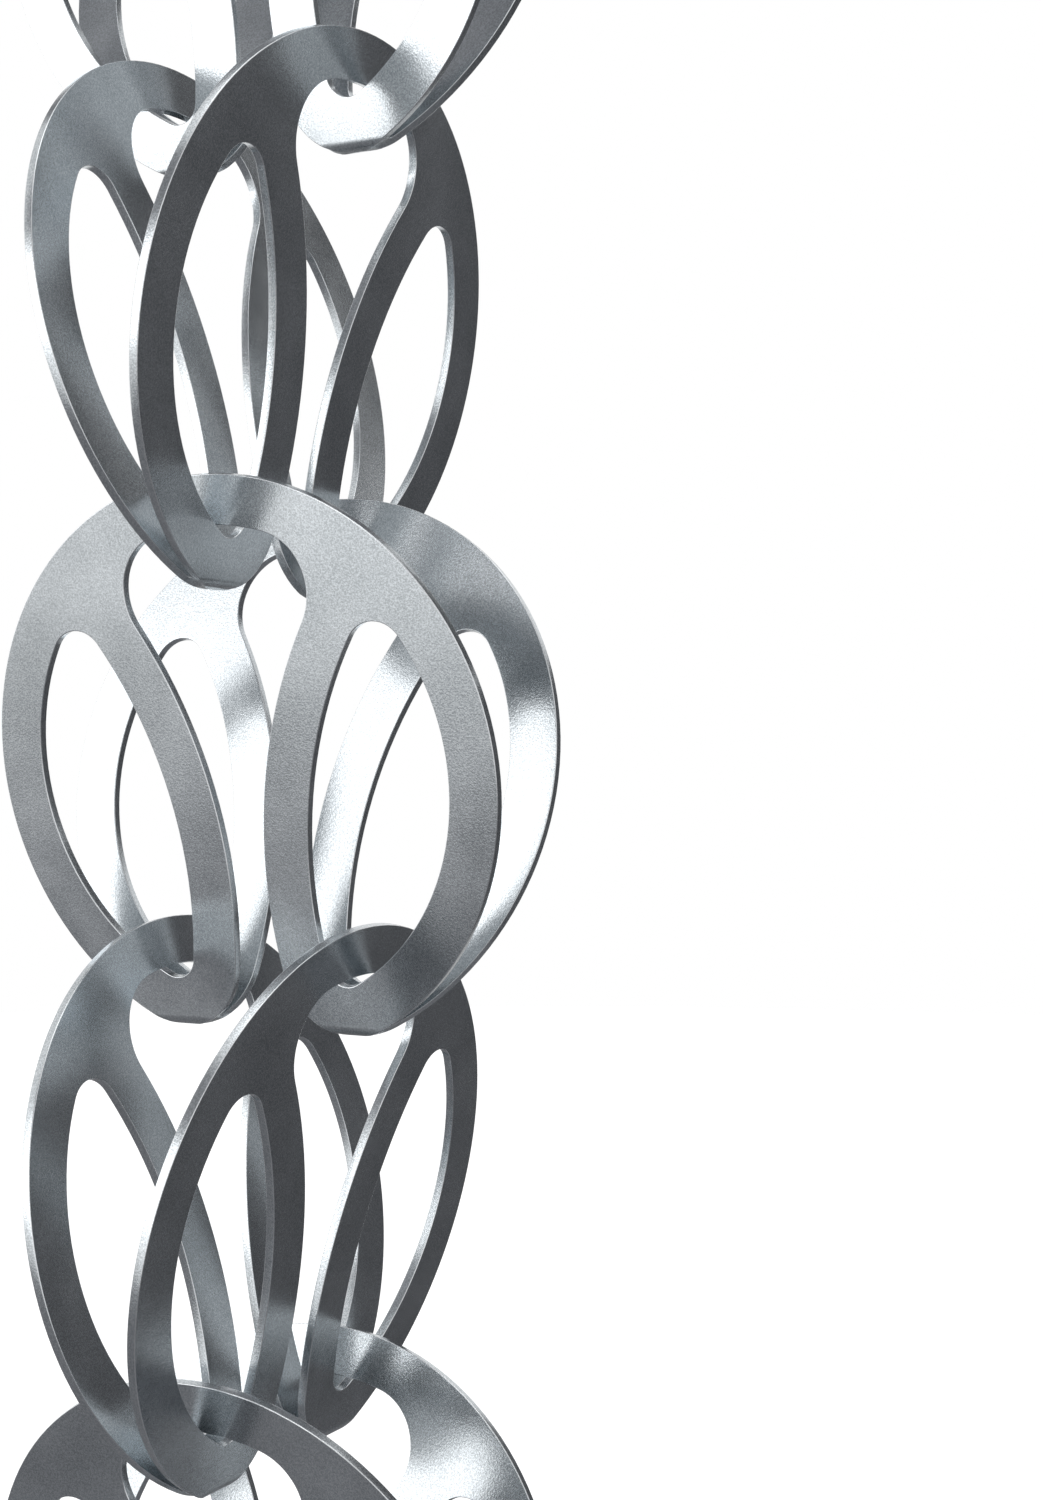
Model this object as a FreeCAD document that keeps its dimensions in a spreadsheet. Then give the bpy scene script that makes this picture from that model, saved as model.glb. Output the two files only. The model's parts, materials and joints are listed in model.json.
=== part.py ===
import FreeCAD, Part
import math
import os

import Sketcher
from FreeCAD import Placement, Rotation, Vector

# A rain chain of folded sheet links, in millimetres, with +Z up.
# Each link is one blank of aluminium sheet: two round plates that stay joined at two narrow
# necks. The blank is folded at the necks, so the plates stand back to back as a narrow V that
# opens upwards. Each plate has a tall keyhole opening in the middle and a leaf-shaped hole in
# each of its two lobes. The arches of the next link pass through the leaf holes, a quarter turn
# round, and hang on the folded ends of the lobes.
# The origin is the point the chain hangs from: midway between the arches of the top link, level
# with the underside of the arches.

doc = FreeCAD.newDocument("RainChain")

DRIVING_SIZES = [
    ("plate_diameter", 100.0, "outline of a folded plate"),
    ("sheet_thickness", 1.6, "aluminium sheet"),
    ("fold_inner_radius", 0.4, "inside of the fold at the necks"),
    ("strip_width", 8.8, "metal left either side of a leaf hole"),
    ("arch_width", 8.4, "metal left above the keyhole"),
    ("waist_half_gap", 3.75, "half of the gap between the lobes where it is narrowest"),
    ("waist_below_centre", 20.5, "narrowest place of the gap, below the plate centre"),
    ("lobe_bow_radius", 86.0, "curve of a lobe's edge along the gap"),
    ("keyhole_corner_radius", 10.0, "upper corners of the keyhole"),
    ("leaf_top_radius", 5.5, "upper end of a leaf hole"),
    ("leaf_end_radius", 4.0, "lower end of a leaf hole"),
    ("lobe_end_radius", 12.4, "round lower end of a lobe, where it is folded"),
    ("arch_beyond_end", 1.4, "how far outside the middle of a leaf hole's end an arch hangs"),
    ("swing_clearance", 0.9, "room between an arch and the lobe that it hangs on"),
    ("spare_metal", 3.0, "how far the blank and the cuts run past the finished link"),
    ("link_count", 12, "links in the chain"),
]


def make_sheet():
    """The driving sizes, one row each: a name, a plain number and what it is."""
    cells = doc.addObject("Spreadsheet::Sheet", "Sizes")
    for row, (alias, value, note) in enumerate(DRIVING_SIZES, start=1):
        cells.set("A%d" % row, alias)
        cells.set("B%d" % row, str(value))
        cells.set("C%d" % row, note)
        cells.setAlias("B%d" % row, alias)
    doc.recompute()
    return cells


sizes = make_sheet()

plate_radius = sizes.plate_diameter / 2
thickness = sizes.sheet_thickness
fold_inner = sizes.fold_inner_radius
fold_outer = fold_inner + thickness
bow_radius = sizes.lobe_bow_radius
corner_radius = sizes.keyhole_corner_radius
end_radius = sizes.lobe_end_radius
link_count = int(sizes.link_count)

# The same sizes as the drawings know them, so that every curve follows its cell.
FOLD_OUTER = "(Sizes.fold_inner_radius + Sizes.sheet_thickness)"
PLATE_RADIUS = "Sizes.plate_diameter / 2"
ARCH_INNER = PLATE_RADIUS + " - Sizes.arch_width"
LEAF_OUTER = PLATE_RADIUS + " - Sizes.strip_width"
LEAF_INNER = "Sizes.lobe_bow_radius - Sizes.strip_width"
BOW_ASIDE = "Sizes.waist_half_gap + Sizes.lobe_bow_radius"

# A piece of a drawing is named by its start, its end or the centre of its curve, and the
# drawing's own origin is a point as well.
START, END, CENTRE = 1, 2, 3
ORIGIN = (-1, 1)


def meeting_point(first, first_reach, second, second_reach, upper):
    """The point at two given distances from two centres: the upper or the lower of the two."""
    between = second - first
    span = between.Length
    along = (first_reach ** 2 - second_reach ** 2 + span ** 2) / (2 * span)
    aside = math.sqrt(first_reach ** 2 - along ** 2)
    unit = between / span
    square = Vector(-unit.y, unit.x, 0)
    foot = first + unit * along
    points = [foot + square * aside, foot - square * aside]
    points.sort(key=lambda point: point.y)
    return points[1] if upper else points[0]


# The plate's own plane: x across it, y up it from the fold line. All of its curves are arcs, and
# these are the centres of those in the right-hand lobe. The plate stands so high that the round
# ends of its lobes just reach the bottom of the fold.
bow_from_plate = Vector(sizes.waist_half_gap + bow_radius, -sizes.waist_below_centre, 0)
end_from_plate = meeting_point(bow_from_plate, bow_radius - end_radius,
                               Vector(0, 0, 0), plate_radius - end_radius, False)
plate_centre = Vector(0, end_radius - fold_outer - end_from_plate.y, 0)
bow_centre = plate_centre + bow_from_plate
lobe_end = plate_centre + end_from_plate
arch_inner = plate_radius - sizes.arch_width
leaf_outer = plate_radius - sizes.strip_width
leaf_inner = bow_radius - sizes.strip_width
keyhole_corner = meeting_point(bow_centre, bow_radius + corner_radius,
                               plate_centre, arch_inner - corner_radius, True)
leaf_top = meeting_point(bow_centre, leaf_inner - sizes.leaf_top_radius,
                         plate_centre, leaf_outer - sizes.leaf_top_radius, True)
leaf_end = meeting_point(bow_centre, leaf_inner - sizes.leaf_end_radius,
                         plate_centre, leaf_outer - sizes.leaf_end_radius, False)
arch_underside = plate_centre.y + arch_inner

# The fold is a little springy, so the plates press outwards: an arch hangs just outside the
# middle of the leaf hole's end in the link above, and each plate leans outwards to reach there.
lean = math.asin((leaf_end.x + sizes.arch_beyond_end - fold_inner - thickness / 2) / arch_underside)

# The end of a leaf hole is round, so it stands highest under the outer face of the arch. The
# underside of an arch is curved as well, and comes down a little where it crosses the outer edges
# of the hole. The links are spaced to leave the swing clearance at those two places.
outer_face = sizes.arch_beyond_end + thickness / 2
perch = leaf_end.y - math.sqrt(sizes.leaf_end_radius ** 2 - outer_face ** 2)
crossing = (fold_outer + perch * math.sin(lean)) / math.cos(lean)
underside_drop = arch_inner - math.sqrt(arch_inner ** 2 - crossing ** 2)
pitch = ((arch_underside - underside_drop - perch) * math.cos(lean)
         - thickness * math.sin(lean) - sizes.swing_clearance)
hang_height = arch_underside * math.cos(lean) - fold_outer * math.sin(lean)


def as_drawn(point):
    """The same place, in the right-hand lobe."""
    return point


def mirrored(point):
    """The same place in the left-hand lobe."""
    return Vector(-point.x, point.y, 0)


def towards(start, target, reach):
    """The point at a distance from one centre, in line with another point."""
    step = target - start
    return start + step * (reach / step.Length)


def line(start, end):
    """A straight piece of an outline: its geometry, and the ends it is entered and left by."""
    return Part.LineSegment(start, end), START, END


def arc(centre, radius, start, end, clockwise=False):
    """A round piece of an outline, walked from start to end about its centre."""
    if clockwise:
        start, end = end, start
    start_angle = math.atan2(start.y - centre.y, start.x - centre.x)
    end_angle = math.atan2(end.y - centre.y, end.x - centre.x)
    circle = Part.Circle(centre, Vector(0, 0, 1), radius)
    curve = Part.ArcOfCircle(circle, start_angle, end_angle)
    return (curve, END, START) if clockwise else (curve, START, END)


class Drawing:
    """A sketch on one of a body's base planes, whose pieces are joined and sized by constraints."""

    def __init__(self, body, name, plane_role, offset=None):
        self.sketch = body.newObject("Sketcher::SketchObject", name)
        self.sketch.AttachmentSupport = [(origin_plane(body, plane_role), "")]
        self.sketch.MapMode = "FlatFace"
        if offset is not None:
            self.sketch.AttachmentOffset = offset

    def tie(self, kind, *where):
        """A constraint with no size, such as two ends that meet."""
        self.sketch.addConstraint(Sketcher.Constraint(kind, *where))

    def size(self, kind, *where, value, formula=None):
        """A constraint with a size, bound to the sheet where a formula is given."""
        index = self.sketch.addConstraint(Sketcher.Constraint(kind, *where, value))
        if formula is not None:
            name = "size_%d" % index
            self.sketch.renameConstraint(index, name)
            self.sketch.setExpression("Constraints." + name, formula)

    def loop(self, pieces, corners=()):
        """A closed outline. Its pieces flow into one another, except after those at corners."""
        first = self.sketch.GeometryCount
        self.sketch.addGeometry([piece[0] for piece in pieces], False)
        for step, piece in enumerate(pieces):
            following = (step + 1) % len(pieces)
            kind = "Coincident" if step in corners else "Tangent"
            self.tie(kind, first + step, piece[2], first + following, pieces[following][1])
        return [first + step for step in range(len(pieces))]

    def round(self, piece, radius, formula):
        """The radius of a round piece."""
        self.size("Radius", piece, value=radius, formula=formula)

    def same_centre(self, piece, other):
        """Two round pieces about one centre."""
        self.tie("Coincident", piece, CENTRE, other, CENTRE)

    def aside(self, piece, end, value, formula):
        """How far to the right (or, below zero, to the left) of the middle a point lies."""
        if value > 0:
            self.size("DistanceX", *ORIGIN, piece, end, value=value, formula=formula)
        else:
            self.size("DistanceX", piece, end, *ORIGIN, value=-value, formula=formula)

    def finished(self):
        """The sketch, once nothing in it is left free to move."""
        doc.recompute()
        if not self.sketch.FullyConstrained:
            raise RuntimeError(self.sketch.Label + " is not fully sized")
        return self.sketch


def origin_plane(body, role):
    """One of the body's own base planes."""
    for feature in body.Origin.OriginFeatures:
        if feature.Role == role:
            return feature
    raise ValueError(role)


def draw_fold_profile(drawing):
    """The bent sheet seen from the side: two leaning legs joined by a round fold."""
    rise = Vector(math.sin(lean), math.cos(lean), 0)
    out = Vector(math.cos(lean), -math.sin(lean), 0)
    leg = sizes.plate_diameter + sizes.spare_metal
    middle = Vector(0, 0, 0)
    inner_low, outer_low = out * fold_inner, out * fold_outer
    inner_high, outer_high = inner_low + rise * leg, outer_low + rise * leg
    pieces = drawing.loop([
        line(inner_low, inner_high),
        line(inner_high, outer_high),
        line(outer_high, outer_low),
        arc(middle, fold_outer, outer_low, mirrored(outer_low), clockwise=True),
        line(mirrored(outer_low), mirrored(outer_high)),
        line(mirrored(outer_high), mirrored(inner_high)),
        line(mirrored(inner_high), mirrored(inner_low)),
        arc(middle, fold_inner, mirrored(inner_low), inner_low),
    ], corners=(0, 1, 4, 5))
    right_leg, right_cap, right_face, outer_fold, left_face, left_cap, left_leg, inner_fold = pieces
    drawing.tie("Coincident", outer_fold, CENTRE, *ORIGIN)
    drawing.tie("Coincident", inner_fold, CENTRE, *ORIGIN)
    drawing.round(outer_fold, fold_outer, FOLD_OUTER)
    drawing.round(inner_fold, fold_inner, "Sizes.fold_inner_radius")
    for leg_line, face_line, cap in ((right_leg, right_face, right_cap), (left_leg, left_face, left_cap)):
        drawing.tie("Parallel", leg_line, face_line)
        drawing.tie("Perpendicular", leg_line, cap)
    drawing.size("Distance", right_leg, value=leg, formula="Sizes.plate_diameter + Sizes.spare_metal")
    drawing.size("Angle", right_leg, value=math.pi / 2 - lean)
    drawing.tie("Symmetric", right_leg, END, left_leg, START, -2)


def draw_outline(drawing):
    """The plate's outline: round the rim, round a lobe's end, up its bow and under the arch."""
    rim_end = towards(plate_centre, lobe_end, plate_radius)
    bow_low = towards(bow_centre, lobe_end, bow_radius)
    bow_top = towards(bow_centre, keyhole_corner, bow_radius)
    arch_end = towards(plate_centre, keyhole_corner, arch_inner)
    pieces = drawing.loop([
        arc(plate_centre, plate_radius, rim_end, mirrored(rim_end)),
        arc(mirrored(lobe_end), end_radius, mirrored(rim_end), mirrored(bow_low)),
        arc(mirrored(bow_centre), bow_radius, mirrored(bow_low), mirrored(bow_top)),
        arc(mirrored(keyhole_corner), corner_radius, mirrored(bow_top), mirrored(arch_end), clockwise=True),
        arc(plate_centre, arch_inner, mirrored(arch_end), arch_end, clockwise=True),
        arc(keyhole_corner, corner_radius, arch_end, bow_top, clockwise=True),
        arc(bow_centre, bow_radius, bow_top, bow_low),
        arc(lobe_end, end_radius, bow_low, rim_end),
    ])
    rim, left_end, left_bow, left_corner, arch, right_corner, right_bow, right_end = pieces
    drawing.tie("Vertical", *ORIGIN, rim, CENTRE)
    drawing.same_centre(arch, rim)
    drawing.round(rim, plate_radius, PLATE_RADIUS)
    drawing.round(arch, arch_inner, ARCH_INNER)
    for bow in (right_bow, left_bow):
        drawing.round(bow, bow_radius, "Sizes.lobe_bow_radius")
        drawing.size("DistanceY", bow, CENTRE, rim, CENTRE,
                     value=sizes.waist_below_centre, formula="Sizes.waist_below_centre")
    drawing.aside(right_bow, CENTRE, bow_centre.x, BOW_ASIDE)
    drawing.aside(left_bow, CENTRE, -bow_centre.x, BOW_ASIDE)
    for corner in (right_corner, left_corner):
        drawing.round(corner, corner_radius, "Sizes.keyhole_corner_radius")
    for end in (right_end, left_end):
        drawing.round(end, end_radius, "Sizes.lobe_end_radius")
    # The round end of a lobe just reaches the bottom of the fold.
    drawing.size("DistanceY", *ORIGIN, right_end, CENTRE, value=lobe_end.y,
                 formula="Sizes.lobe_end_radius - " + FOLD_OUTER)
    return rim, right_bow, left_bow


def draw_leaf_hole(drawing, place, rim, lobe_bow):
    """A leaf hole: along the lobe's bow, round its lower end, up the rim and round its top."""
    bow, end, top = place(bow_centre), place(leaf_end), place(leaf_top)
    bow_to_end = towards(bow, end, leaf_inner)
    end_to_rim = towards(plate_centre, end, leaf_outer)
    rim_to_top = towards(plate_centre, top, leaf_outer)
    top_to_bow = towards(bow, top, leaf_inner)
    clockwise = place is mirrored
    bow_side, low_end, rim_side, high_end = drawing.loop([
        arc(bow, leaf_inner, top_to_bow, bow_to_end, clockwise),
        arc(end, sizes.leaf_end_radius, bow_to_end, end_to_rim, clockwise),
        arc(plate_centre, leaf_outer, end_to_rim, rim_to_top, clockwise),
        arc(top, sizes.leaf_top_radius, rim_to_top, top_to_bow, clockwise),
    ])
    drawing.same_centre(bow_side, lobe_bow)
    drawing.same_centre(rim_side, rim)
    drawing.round(bow_side, leaf_inner, LEAF_INNER)
    drawing.round(rim_side, leaf_outer, LEAF_OUTER)
    drawing.round(low_end, sizes.leaf_end_radius, "Sizes.leaf_end_radius")
    drawing.round(high_end, sizes.leaf_top_radius, "Sizes.leaf_top_radius")


def draw_blank_edge(drawing):
    """A rectangle past the edges of the folded blank: what lies between it and the outline goes."""
    reach = plate_radius + 2 * sizes.spare_metal
    ceiling = sizes.plate_diameter + 2 * sizes.spare_metal
    floor = -(fold_outer + sizes.spare_metal)
    low_left, low_right = Vector(-reach, floor, 0), Vector(reach, floor, 0)
    high_left, high_right = Vector(-reach, ceiling, 0), Vector(reach, ceiling, 0)
    low, right, high, left = drawing.loop([
        line(low_left, low_right),
        line(low_right, high_right),
        line(high_right, high_left),
        line(high_left, low_left),
    ], corners=range(4))
    for level in (low, high):
        drawing.tie("Horizontal", level)
    for upright in (right, left):
        drawing.tie("Vertical", upright)
    past_rim = PLATE_RADIUS + " + 2 * Sizes.spare_metal"
    drawing.aside(right, START, reach, past_rim)
    drawing.aside(left, START, -reach, past_rim)
    drawing.size("DistanceY", *ORIGIN, high, START, value=ceiling,
                 formula="Sizes.plate_diameter + 2 * Sizes.spare_metal")
    drawing.size("DistanceY", low, START, *ORIGIN, value=-floor,
                 formula=FOLD_OUTER + " + Sizes.spare_metal")


def make_link(number):
    """One link: the folded blank, then the plate's outline and holes cut square to each leg."""
    body = doc.addObject("PartDesign::Body", "link_%02d" % number)
    body.Label = "link_%02d" % number

    profile = Drawing(body, "fold_profile_%02d" % number, "YZ_Plane")
    draw_fold_profile(profile)
    blank = body.newObject("PartDesign::Pad", "blank_%02d" % number)
    blank.Profile = profile.finished()
    blank.Midplane = True
    blank.setExpression("Length", "Sizes.plate_diameter + 2 * Sizes.spare_metal")
    doc.recompute()

    # The pattern lies on the outer face of the front plate, which leans with it, and is cut as
    # far as the link's upright middle plane, which halves the fold.
    tilt = Rotation(Vector(1, 0, 0), math.degrees(lean))
    on_face = Placement(tilt.multVec(Vector(0, 0, fold_outer)), tilt)
    pattern = Drawing(body, "plate_pattern_%02d" % number, "XZ_Plane", on_face)
    draw_blank_edge(pattern)
    rim, right_bow, left_bow = draw_outline(pattern)
    draw_leaf_hole(pattern, as_drawn, rim, right_bow)
    draw_leaf_hole(pattern, mirrored, rim, left_bow)
    front_cut = body.newObject("PartDesign::Pocket", "front_cut_%02d" % number)
    front_cut.Profile = pattern.finished()
    front_cut.Type = "UpToFace"
    front_cut.UpToFace = (origin_plane(body, "XZ_Plane"), [""])
    doc.recompute()

    # The back plate is cut to the same pattern.
    both_cuts = body.newObject("PartDesign::Mirrored", "both_cuts_%02d" % number)
    both_cuts.Originals = [front_cut]
    both_cuts.MirrorPlane = (origin_plane(body, "XZ_Plane"), [""])
    body.Tip = both_cuts
    doc.recompute()
    if not both_cuts.Shape.Volume < front_cut.Shape.Volume < blank.Shape.Volume:
        raise RuntimeError(body.Label + " was not cut on both sides")

    # Each link hangs one pitch below the last and is turned a quarter turn from it.
    turn = Rotation(Vector(0, 0, 1), 90 * ((number - 1) % 2))
    drop = hang_height + (number - 1) * pitch
    body.Placement = Placement(Vector(0, 0, -drop), turn)
    return body


links = [make_link(number) for number in range(1, link_count + 1)]
doc.recompute()

for thing in doc.Objects:
    for state in thing.State:
        if state in ("Invalid", "Error"):
            raise RuntimeError("%s is %s" % (thing.Label, state))
for link in links:
    if link.Shape.isNull() or not link.Shape.isValid() or len(link.Shape.Solids) != 1:
        raise RuntimeError(link.Label + " is not one sound solid")

print("lean", round(math.degrees(lean), 3), "pitch", round(pitch, 3), "hang", round(hang_height, 3))
print("leaf hole end", round(leaf_end.x, 3), round(leaf_end.y, 3), "perch", round(perch, 3))
print("volume of a link", round(links[0].Shape.Volume, 1))

os.makedirs("parts", exist_ok=True)
for link in links:
    link.Shape.exportStep("parts/%s.step" % link.Label)
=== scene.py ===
# %% [markdown]
# # A rain chain of folded sheet links
# A rain chain hangs from a gutter in place of a downspout, and rainwater runs down it from link to
# link. Here each link is one blank of aluminium sheet: two round pierced plates, folded back to
# back. This lesson takes the twelve links from the CAD model, softens their cut edges as a
# polisher would, gives them a bead-blasted finish, and lights them as bare metal is lit in a studio.

# %% Load the CAD model as the frame
import json
import math

import bpy
from mathutils import Matrix, Quaternion, Vector

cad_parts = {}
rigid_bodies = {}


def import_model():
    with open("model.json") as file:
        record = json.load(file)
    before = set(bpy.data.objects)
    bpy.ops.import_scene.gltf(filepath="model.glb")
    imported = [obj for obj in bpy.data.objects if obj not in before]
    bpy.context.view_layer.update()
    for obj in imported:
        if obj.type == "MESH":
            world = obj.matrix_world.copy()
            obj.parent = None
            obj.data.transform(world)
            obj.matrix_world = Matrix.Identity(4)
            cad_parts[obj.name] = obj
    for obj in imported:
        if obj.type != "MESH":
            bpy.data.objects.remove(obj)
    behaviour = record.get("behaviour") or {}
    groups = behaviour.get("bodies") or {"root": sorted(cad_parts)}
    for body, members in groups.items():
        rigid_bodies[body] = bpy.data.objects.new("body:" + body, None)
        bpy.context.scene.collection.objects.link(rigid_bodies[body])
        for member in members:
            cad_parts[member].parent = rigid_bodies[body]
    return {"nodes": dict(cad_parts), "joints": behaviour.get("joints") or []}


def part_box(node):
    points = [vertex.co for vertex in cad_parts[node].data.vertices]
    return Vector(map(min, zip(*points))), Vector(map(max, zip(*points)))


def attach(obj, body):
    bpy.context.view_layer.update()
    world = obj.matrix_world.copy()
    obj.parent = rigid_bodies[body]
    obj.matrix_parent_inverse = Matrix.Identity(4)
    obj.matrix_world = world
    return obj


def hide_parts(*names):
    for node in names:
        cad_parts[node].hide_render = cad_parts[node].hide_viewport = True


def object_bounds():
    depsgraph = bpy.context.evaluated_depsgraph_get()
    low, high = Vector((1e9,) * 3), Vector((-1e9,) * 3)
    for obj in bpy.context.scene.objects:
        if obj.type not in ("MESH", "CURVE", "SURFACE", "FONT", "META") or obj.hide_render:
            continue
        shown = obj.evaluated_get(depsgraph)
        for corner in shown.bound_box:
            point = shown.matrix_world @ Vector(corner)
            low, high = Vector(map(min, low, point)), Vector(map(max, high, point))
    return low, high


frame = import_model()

cad_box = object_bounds()
print("CAD box, low and high corners:", cad_box[0], cad_box[1])

# %% [markdown]
# ## Sizes that come from the frame
# Every link is the same blank, a quarter turn round from the one above and one pitch lower. The
# hinge that a link swings on is the fold line of the link above it, so the hinges give both the
# pitch and the height of each fold. Reading them from the frame keeps the scene right if the CAD
# sizes change.

# %% Read the links, their pitch and their folds
link_names = sorted(frame["nodes"])
first_link = link_names[0]
fold_height = {joint["parent"]: joint["pos_m"][2] for joint in frame["joints"]}
pitch = fold_height["link_01"] - fold_height["link_02"]
low_corner, high_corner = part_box(first_link)
plate_width = high_corner[0] - low_corner[0]
print(len(link_names), "links,", round(pitch * 1000, 2), "mm apart, plates",
      round(plate_width * 1000, 1), "mm wide")

# %% [markdown]
# ## The folded blank
# The CAD solid already has the exact outline, the keyhole and the leaf-shaped holes, so it is the
# best start for the finished piece. It arrives as loose triangles. A copy of it is merged at its
# corners, and the flat parts are dissolved into large faces, because a bevel needs clean edges to
# run along. Modelling the outline again by hand would only risk a link that no longer threads
# through its neighbours.

# %% Helpers that pick an object and copy a CAD node
def pick(obj):
    """Make obj the only selected object, and the active one."""
    bpy.ops.object.select_all(action="DESELECT")
    obj.select_set(True)
    bpy.context.view_layer.objects.active = obj


def own_copy(node_name, piece_name):
    """A separate object with its own copy of a CAD node's mesh."""
    piece = bpy.data.objects.new(piece_name, frame["nodes"][node_name].data.copy())
    piece.data.name = piece_name
    bpy.context.scene.collection.objects.link(piece)
    return piece


# %% Merge a copy of the top link and clean up its flat faces
MERGE_REACH = 1e-6
FLATNESS = math.radians(0.2)

blank = own_copy(first_link, "folded_link_01")
blank.data.materials.clear()
pick(blank)
triangle_count = len(blank.data.polygons)
bpy.ops.object.mode_set(mode="EDIT")
bpy.ops.mesh.select_all(action="SELECT")
bpy.ops.mesh.remove_doubles(threshold=MERGE_REACH)
bpy.ops.mesh.dissolve_limited(angle_limit=FLATNESS)
bpy.ops.object.mode_set(mode="OBJECT")
print("triangles", triangle_count, "became", len(blank.data.polygons), "clean faces")

# %% [markdown]
# ## Where the sheet was bent
# Bending stretches the skin of the sheet on the outside of the fold, and the blasted surface turns
# a little coarser there. The material can't know where the fold is, because every link lies at a
# different height, so each corner of the mesh carries that as a number: 1 on the round of the fold
# and 0 on the plates. A painted mask would do the same, but a rule is exact and needs no picture.

# %% Mark the bent metal
FOLD_REACH = 0.0034
FOLD_FADE = 0.0016


def mark_fold(piece, height):
    """Store how much of the bend reaches each corner of the mesh."""
    mask = piece.data.attributes.new("bent_metal", "FLOAT", "POINT")
    for corner, share in zip(piece.data.vertices, mask.data):
        distance = math.hypot(corner.co.y, corner.co.z - height)
        share.value = min(max((FOLD_REACH - distance) / FOLD_FADE, 0.0), 1.0)
    return sum(share.value > 0 for share in mask.data)


print("corners on the fold:", mark_fold(blank, fold_height[first_link]))

# %% [markdown]
# ## Deburred edges
# A cut blank is tumbled before it is folded, which takes the sharpness off every edge. That narrow
# soft edge is what catches the light along the outline of bare metal. A Bevel modifier limited by
# angle rounds only the corners between a plate and a cut wall, and leaves the round walls
# alone. It gives the rounded strip a material slot of its own, since tumbling polishes it brighter
# than the blasted plates. Weighted normals then keep the large faces flat in the shading.

# %% Round the edges of the blank
EDGE_ROUND = 0.00016
EDGE_STEPS = 2
SHARP_CORNER = math.radians(50)
FLAT_FACE_WEIGHT = 100
EDGE_SLOT = 1

plate_metal = bpy.data.materials.new("blasted_aluminium")
edge_metal = bpy.data.materials.new("tumbled_edge")
blank.data.materials.append(plate_metal)
blank.data.materials.append(edge_metal)
pick(blank)
soften = blank.modifiers.new("tumbled edges", "BEVEL")
soften.width = EDGE_ROUND
soften.segments = EDGE_STEPS
soften.limit_method = "ANGLE"
soften.angle_limit = SHARP_CORNER
soften.use_clamp_overlap = False
soften.material = EDGE_SLOT
bpy.ops.object.modifier_apply(modifier=soften.name)
bpy.ops.object.shade_smooth_by_angle(angle=SHARP_CORNER)
flatten = blank.modifiers.new("flat plates", "WEIGHTED_NORMAL")
flatten.weight = FLAT_FACE_WEIGHT
flatten.keep_sharp = True
bpy.ops.object.modifier_apply(modifier=flatten.name)
print("finished link:", len(blank.data.polygons), "faces")

# %% [markdown]
# ## Twelve links from one
# All links are cut and folded alike, so the first is finished once and copied. Each copy has its
# own mesh, moved down by whole pitches and turned a quarter turn for every second link, while its
# object stays at the origin as the CAD nodes do. Each then rides on its CAD body, which makes it
# swing with its hinge, and stands for its CAD node.

# %% Copy the finished link down the chain
QUARTER_TURN = math.radians(90)


def hang_copy(number):
    """A copy of the finished link, in its place down the chain."""
    piece = blank.copy()
    piece.data = blank.data.copy()
    piece.name = piece.data.name = "folded_link_%02d" % number
    bpy.context.scene.collection.objects.link(piece)
    turn = Matrix.Rotation(QUARTER_TURN * ((number - 1) % 2), 4, "Z")
    piece.data.transform(Matrix.Translation((0, 0, -pitch * (number - 1))) @ turn)
    return piece


finished_links = [blank] + [hang_copy(number) for number in range(2, len(link_names) + 1)]
for piece, name in zip(finished_links, link_names):
    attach(piece, name)
    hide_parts(name)
print("links in place:", ", ".join(piece.name for piece in finished_links))

# %% [markdown]
# ## The grain that blasting leaves
# Glass beads leave the sheet covered in tiny dents, about 0.3 millimetres across. Close up they
# sparkle, and from further off they blur what the metal reflects. A picture texture would repeat
# and stretch round the fold. Noise on Object coordinates has neither fault, so the grain is a node
# group with two scales of noise: the fine dents, and slow clouds where the beads struck harder.

# %% Helpers that add nodes to a shader or a group
def new_group(name, inputs, outputs):
    """An empty shader node group with number inputs and outputs, and its two end nodes."""
    group = bpy.data.node_groups.new(name, "ShaderNodeTree")
    for label, default in inputs:
        socket = group.interface.new_socket(label, in_out="INPUT", socket_type="NodeSocketFloat")
        socket.default_value = default
    for label in outputs:
        group.interface.new_socket(label, in_out="OUTPUT", socket_type="NodeSocketFloat")
    return group, group.nodes.new("NodeGroupInput"), group.nodes.new("NodeGroupOutput")


def noise(tree, place, detail, scale):
    """Noise on Object coordinates, whose scale comes from a socket."""
    node = tree.nodes.new("ShaderNodeTexNoise")
    node.inputs["Detail"].default_value = detail
    tree.links.new(place.outputs["Object"], node.inputs["Vector"])
    tree.links.new(scale, node.inputs["Scale"])
    return node.outputs["Fac"]


def spread(tree, source, low, high, start, stop):
    """Stretch the part of source between low and high to run from start to stop."""
    node = tree.nodes.new("ShaderNodeMapRange")
    node.inputs["From Min"].default_value = low
    node.inputs["From Max"].default_value = high
    node.inputs["To Min"].default_value = start
    node.inputs["To Max"].default_value = stop
    tree.links.new(source, node.inputs["Value"])
    return node.outputs["Result"]


def combine(tree, operation, *numbers):
    """One sum on two or three numbers, each a socket or a plain value."""
    node = tree.nodes.new("ShaderNodeMath")
    node.operation = operation
    for socket, number in zip(node.inputs, numbers):
        if isinstance(number, float):
            socket.default_value = number
        else:
            tree.links.new(number, socket)
    return node.outputs[0]


# %% Build the blasted grain group
DENTS_PER_METRE = 3400.0
CLOUDS_PER_METRE = 60.0
DENT_DETAIL = 1.0
CLOUD_DETAIL = 3.0
SPARKLE_FROM = 0.35
SPARKLE_TO = 0.65

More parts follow.
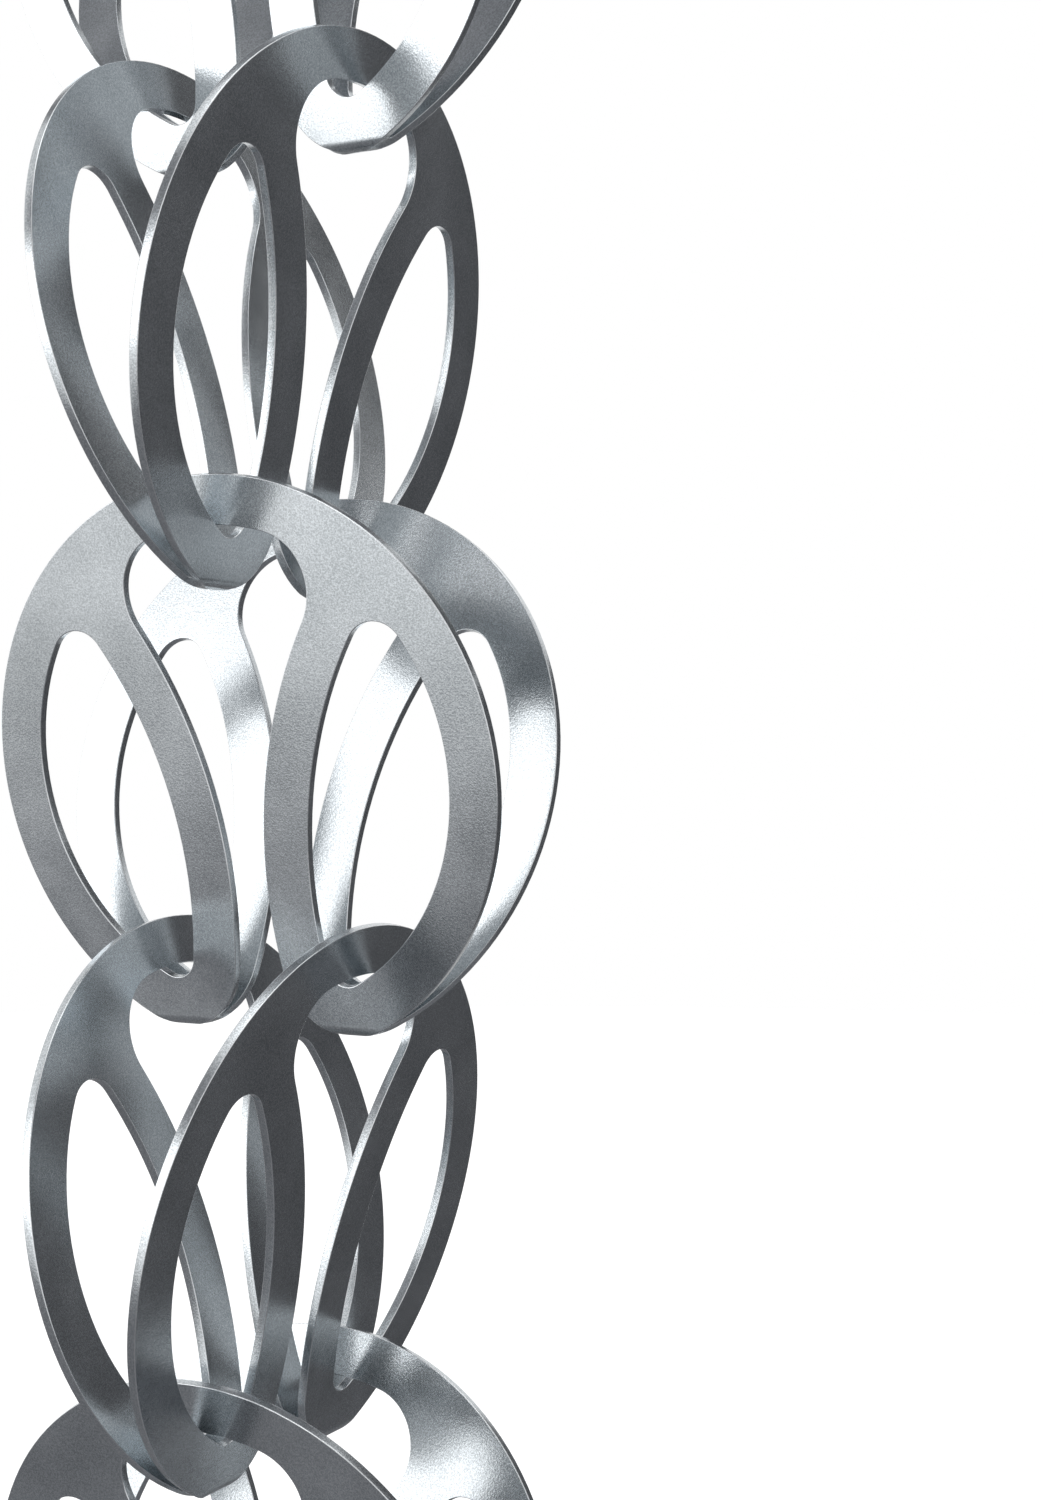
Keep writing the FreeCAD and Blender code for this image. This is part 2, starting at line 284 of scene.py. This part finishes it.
grain_group, grain_in, grain_out = new_group(
    "blasted_grain",
    [("Dents per metre", DENTS_PER_METRE), ("Clouds per metre", CLOUDS_PER_METRE)],
    ["Dents", "Clouds", "Sparkle"])
place = grain_group.nodes.new("ShaderNodeTexCoord")
dents = noise(grain_group, place, DENT_DETAIL, grain_in.outputs["Dents per metre"])
clouds = noise(grain_group, place, CLOUD_DETAIL, grain_in.outputs["Clouds per metre"])
sparkle = spread(grain_group, dents, SPARKLE_FROM, SPARKLE_TO, 0.0, 1.0)
grain_group.links.new(dents, grain_out.inputs["Dents"])
grain_group.links.new(clouds, grain_out.inputs["Clouds"])
grain_group.links.new(sparkle, grain_out.inputs["Sparkle"])
print("group", grain_group.name, "gives", [socket.name for socket in grain_out.inputs if socket.name])

# %% [markdown]
# ## The plate metal and the edge metal
# Bare aluminium is all reflection: a Principled shader with Metallic at 1, a cool light grey, and
# enough roughness to blur its neighbours without hiding them. The grain moves the colour between a
# darker and a lighter grey and the roughness by a few hundredths, and it dents the normal through
# a Bump node. The bend adds roughness where the sheet was stretched. The tumbled edge is the same
# metal, smoother and a shade lighter, so it uses the same group with weaker dents.

# %% Build both metals from one function
SPARKLE_SHARE = 0.6
CLOUD_SHARE = 1.0 - SPARKLE_SHARE
CLOUDS_FROM = 0.3
CLOUDS_TO = 0.7
ROUGHNESS_SWING = 0.03
BEND_ROUGHENING = 0.08


def bare_metal(material, dark, light, roughness, dent_depth):
    """A blasted bare metal whose colour, roughness and dents all follow the grain."""
    material.use_nodes = True
    tree = material.node_tree
    shader = tree.nodes["Principled BSDF"]
    shader.inputs["Metallic"].default_value = 1.0
    grain = tree.nodes.new("ShaderNodeGroup")
    grain.node_tree = grain_group
    grain.inputs["Dents per metre"].default_value = DENTS_PER_METRE
    grain.inputs["Clouds per metre"].default_value = CLOUDS_PER_METRE

    tone = tree.nodes.new("ShaderNodeMix")
    tone.data_type = "RGBA"
    tone.inputs["A"].default_value = (*dark, 1.0)
    tone.inputs["B"].default_value = (*light, 1.0)
    clouded = spread(tree, grain.outputs["Clouds"], CLOUDS_FROM, CLOUDS_TO, 0.0, CLOUD_SHARE)
    lightness = combine(tree, "MULTIPLY_ADD", grain.outputs["Sparkle"], SPARKLE_SHARE, clouded)
    tree.links.new(lightness, tone.inputs["Factor"])
    tree.links.new(tone.outputs["Result"], shader.inputs["Base Color"])

    bend = tree.nodes.new("ShaderNodeAttribute")
    bend.attribute_name = "bent_metal"
    cloudy = spread(tree, grain.outputs["Clouds"], CLOUDS_FROM, CLOUDS_TO,
                    roughness - ROUGHNESS_SWING, roughness + ROUGHNESS_SWING)
    stretched = combine(tree, "MULTIPLY", bend.outputs["Fac"], BEND_ROUGHENING)
    tree.links.new(combine(tree, "ADD", cloudy, stretched), shader.inputs["Roughness"])

    bump = tree.nodes.new("ShaderNodeBump")
    bump.inputs["Strength"].default_value = 1.0
    bump.inputs["Distance"].default_value = dent_depth
    tree.links.new(grain.outputs["Dents"], bump.inputs["Height"])
    tree.links.new(bump.outputs["Normal"], shader.inputs["Normal"])


# %% Paint the plates, the edges and the CAD nodes
SHEET_DARK, SHEET_LIGHT = (0.375, 0.402, 0.42), (0.675, 0.71, 0.735)
EDGE_DARK, EDGE_LIGHT = (0.62, 0.65, 0.67), (0.77, 0.79, 0.81)

bare_metal(plate_metal, SHEET_DARK, SHEET_LIGHT, roughness=0.21, dent_depth=0.000014)
bare_metal(edge_metal, EDGE_DARK, EDGE_LIGHT, roughness=0.18, dent_depth=0.000008)
for node in frame["nodes"].values():
    node.data.materials.clear()
    node.data.materials.append(plate_metal)
print("metals:", plate_metal.name, "and", edge_metal.name)

# %% [markdown]
# ## Floor and surroundings
# Bare metal looks like whatever stands round it. The room is white where the camera or a
# reflection sees it, and a little softer where it only lights the object. The pale floor gives the
# plates that lean forward their mid grey. A real studio floor runs on without an edge, so this one
# adds a little light of its own that grows with distance: for the camera it hides the far edge and
# leaves the shadow under the chain, and for reflections it brightens only the far part.

# %% Lay the floor
FLOOR_DROP = 0.05
FLOOR_REACH = 5.0
FLOOR_SIDES = 96

floor_height = cad_box[0][2] - FLOOR_DROP
bpy.ops.mesh.primitive_circle_add(vertices=FLOOR_SIDES, radius=FLOOR_REACH, fill_type="NGON",
                                  location=(0, 0, floor_height))
floor = bpy.context.object
floor.name = "floor"
print("floor at", round(floor_height, 3), "m")

# %% Paint the floor so that its edge is lost in white
FLOOR_SHADE = 0.80
FLOOR_ROUGHNESS = 0.9
FLOOR_SHINE = 0.2
WHITE = (1.0, 1.0, 1.0, 1.0)
SEEN_FADE_FROM, SEEN_FADE_TO = 0.3, 1.4
SEEN_GLOW_FROM, SEEN_GLOW_TO = 0.12, 0.6
MIRRORED_FADE_FROM, MIRRORED_FADE_TO = 1.5, 4.0
MIRRORED_GLOW = 0.4

floor_paint = bpy.data.materials.new("pale_floor")
floor_paint.use_nodes = True
floor_tree = floor_paint.node_tree
floor_shader = floor_tree.nodes["Principled BSDF"]
floor_shader.inputs["Base Color"].default_value = (FLOOR_SHADE, FLOOR_SHADE, FLOOR_SHADE, 1.0)
floor_shader.inputs["Roughness"].default_value = FLOOR_ROUGHNESS
floor_shader.inputs["Specular IOR Level"].default_value = FLOOR_SHINE
floor_shader.inputs["Emission Color"].default_value = WHITE
spot = floor_tree.nodes.new("ShaderNodeTexCoord")
reach = floor_tree.nodes.new("ShaderNodeVectorMath")
reach.operation = "LENGTH"
floor_tree.links.new(spot.outputs["Object"], reach.inputs[0])
floor_ray = floor_tree.nodes.new("ShaderNodeLightPath")
seen_glow = spread(floor_tree, reach.outputs["Value"], SEEN_FADE_FROM, SEEN_FADE_TO,
                   SEEN_GLOW_FROM, SEEN_GLOW_TO)
mirrored_glow = spread(floor_tree, reach.outputs["Value"], MIRRORED_FADE_FROM, MIRRORED_FADE_TO,
                       0.0, MIRRORED_GLOW)
seen_straight = combine(floor_tree, "MULTIPLY", seen_glow, floor_ray.outputs["Is Camera Ray"])
seen_in_metal = combine(floor_tree, "MULTIPLY", mirrored_glow, floor_ray.outputs["Is Glossy Ray"])
floor_tree.links.new(combine(floor_tree, "ADD", seen_straight, seen_in_metal),
                     floor_shader.inputs["Emission Strength"])
floor.data.materials.append(floor_paint)
print("the floor glows up to", SEEN_GLOW_TO, "for the camera and", MIRRORED_GLOW, "in the metal")

# %% Make the room white where it is seen and softer where it lights
ROOM_LIGHT = 0.7

room = bpy.data.worlds.new("white_room")
room.use_nodes = True
bpy.context.scene.world = room
room_tree = room.node_tree
room_shade = room_tree.nodes["Background"]
room_shade.inputs["Color"].default_value = WHITE
room_ray = room_tree.nodes.new("ShaderNodeLightPath")
seen = combine(room_tree, "MAXIMUM", room_ray.outputs["Is Camera Ray"], room_ray.outputs["Is Glossy Ray"])
seen = combine(room_tree, "MAXIMUM", seen, room_ray.outputs["Is Transmission Ray"])
room_tree.links.new(spread(room_tree, seen, 0.0, 1.0, ROOM_LIGHT, 1.0), room_shade.inputs["Strength"])
print("room light", ROOM_LIGHT)

# %% [markdown]
# ## The camera
# The photograph was taken close up, about four plate widths from the chain, so the near plates are
# visibly larger than the far ones. Fitting the outlines of the three whole links to the
# photograph gave the place: 28 degrees to the right of square on, and level with the middle of
# the fifth link. The camera looks almost level, so the verticals stay upright.

# %% Place the camera
VIEW_TURN = math.radians(27.88)
VIEW_DISTANCE = 0.37311
VIEW_ASIDE = 0.04304
VIEW_ABOVE_FOLD = 0.04495
VIEW_RISE = math.radians(0.2)
VIEW_ROLL = math.radians(0.095)
FOCAL_PIXELS, IMAGE_HEIGHT = 2161.4, 1500
SENSOR = 36.0
NEAREST_SEEN, FARTHEST_SEEN = 0.01, 50.0

across = Vector((math.cos(VIEW_TURN), math.sin(VIEW_TURN), 0))
ahead = Vector((-math.sin(VIEW_TURN), math.cos(VIEW_TURN), 0))
eye = across * VIEW_ASIDE - ahead * VIEW_DISTANCE
eye.z = fold_height["link_05"] + VIEW_ABOVE_FOLD
gaze = ahead * math.cos(VIEW_RISE) + Vector((0, 0, math.sin(VIEW_RISE)))

bpy.ops.object.camera_add(location=eye)
camera = bpy.context.object
camera.name = "photo_camera"
camera.rotation_mode = "QUATERNION"
camera.rotation_quaternion = gaze.to_track_quat("-Z", "Y") @ Quaternion((0, 0, 1), VIEW_ROLL)
camera.data.sensor_width = SENSOR
camera.data.lens = FOCAL_PIXELS / IMAGE_HEIGHT * SENSOR
camera.data.clip_start = NEAREST_SEEN
camera.data.clip_end = FARTHEST_SEEN
bpy.context.scene.camera = camera
print("camera at", [round(value, 3) for value in eye], "lens", round(camera.data.lens, 1))

# %% [markdown]
# ## Lamps
# Each lamp is placed by the direction in which a plate would see it, so it is described by its
# bearing round the chain and its height above the camera. A large soft key lamp at the front left
# whitens the inside of the back plates, a small one below it lights the shoulders of the front
# plates, and a wide lamp overhead lights the floor and the upper edges.

# %% Helpers that place and hang a lamp
def around(bearing, distance, height):
    """A point round the chain: bearing 0 is along +Y and it grows towards +X."""
    turn = math.radians(bearing)
    return Vector((math.sin(turn) * distance, math.cos(turn) * distance, eye.z + height))


def soft_lamp(name, place, width, tall, radiance):
    """A soft lamp that faces the chain, as bright as radiance says where it is reflected."""
    bpy.ops.object.light_add(type="AREA", location=place)
    lamp = bpy.context.object
    lamp.name = name
    lamp.data.shape = "RECTANGLE"
    lamp.data.size = width
    lamp.data.size_y = tall
    lamp.data.energy = radiance * math.pi * width * tall
    aim = Vector((0, 0, eye.z)) - place
    lamp.rotation_mode = "QUATERNION"
    lamp.rotation_quaternion = aim.to_track_quat("-Z", "Y")
    lamp.visible_camera = False
    print(name, "gives", round(lamp.data.energy, 1), "W")


# %% Hang the lamps
OVERHEAD = Vector((0, 0, 1.4))

soft_lamp("key_lamp", around(bearing=212, distance=2.0, height=0.36), width=1.7, tall=1.06, radiance=1.55)
soft_lamp("low_lamp", around(bearing=211, distance=2.0, height=-0.42), width=0.36, tall=0.3, radiance=0.65)
soft_lamp("top_lamp", OVERHEAD, width=1.4, tall=1.4, radiance=1.0)

# %% [markdown]
# ## Cards
# In an all-white room bare metal all but vanishes, so a photographer stands grey and black cards
# round it. Each is a plain board that only reflections see. A dark one behind on the right makes
# the links that stand edge on nearly black, and a second above it greys the plates that lean back
# there. One high in front tones the tops of the back plates. One above the camera and one high on
# the far side tone what the plates reflect of each other, and one on the floor shades the foot of
# every front plate.

# %% Helpers that make a card
CARD_COOLNESS = 1.05


def card(name, shade):
    """Paint the board just added matt, and let it be seen only in the metal."""
    board = bpy.context.object
    board.name = name
    board.visible_camera = False
    board.visible_diffuse = False
    board.visible_shadow = False
    paint = bpy.data.materials.new(name + "_paint")
    paint.use_nodes = True
    matt = paint.node_tree.nodes["Principled BSDF"]
    matt.inputs["Base Color"].default_value = (shade, shade, shade * CARD_COOLNESS, 1.0)
    matt.inputs["Roughness"].default_value = 1.0
    matt.inputs["Specular IOR Level"].default_value = 0.0
    board.data.materials.append(paint)
    print(name, "at", [round(value, 2) for value in board.location])


def standing_card(name, place, width, tall, shade):
    """A card that stands or hangs facing the chain."""
    bpy.ops.mesh.primitive_plane_add(size=1.0, location=place)
    board = bpy.context.object
    board.scale = (width, tall, 1.0)
    board.rotation_mode = "QUATERNION"
    board.rotation_quaternion = (Vector((0, 0, eye.z)) - place).to_track_quat("Z", "Y")
    card(name, shade)


# %% Stand and hang the cards round the chain
standing_card("dark_card", around(bearing=34, distance=0.9, height=-0.14), width=1.1, tall=0.96, shade=0.14)
standing_card("back_card", around(bearing=34, distance=0.9, height=0.66), width=0.54, tall=0.62, shade=0.14)
standing_card("high_card", around(bearing=211, distance=1.4, height=1.24), width=1.5, tall=0.84, shade=0.36)
standing_card("near_card", around(bearing=142, distance=1.2, height=1.05), width=1.0, tall=0.84, shade=0.45)
standing_card("far_card", around(bearing=324, distance=0.8, height=1.3), width=1.6, tall=1.0, shade=0.30)

# %% Lay the floor card
FLOOR_CARD_SIZE = (3.2, 2.4, 1.0)
FLOOR_CARD_TURN = math.radians(10)
FLOOR_CARD_LIFT = 0.004
FLOOR_CARD_SHADE = 0.24

bpy.ops.mesh.primitive_plane_add(size=1.0, location=(0, 0, floor_height + FLOOR_CARD_LIFT),
                                 rotation=(0, 0, FLOOR_CARD_TURN))
bpy.context.object.scale = FLOOR_CARD_SIZE
card("floor_card", FLOOR_CARD_SHADE)

# %% [markdown]
# ## Finish
# The Standard view transform shows each colour as it is written. Only edges were rounded, so the
# finished chain should keep the size of the CAD model.

# %% Show colours as they are written and close the scene
bpy.context.scene.view_settings.view_transform = "Standard"
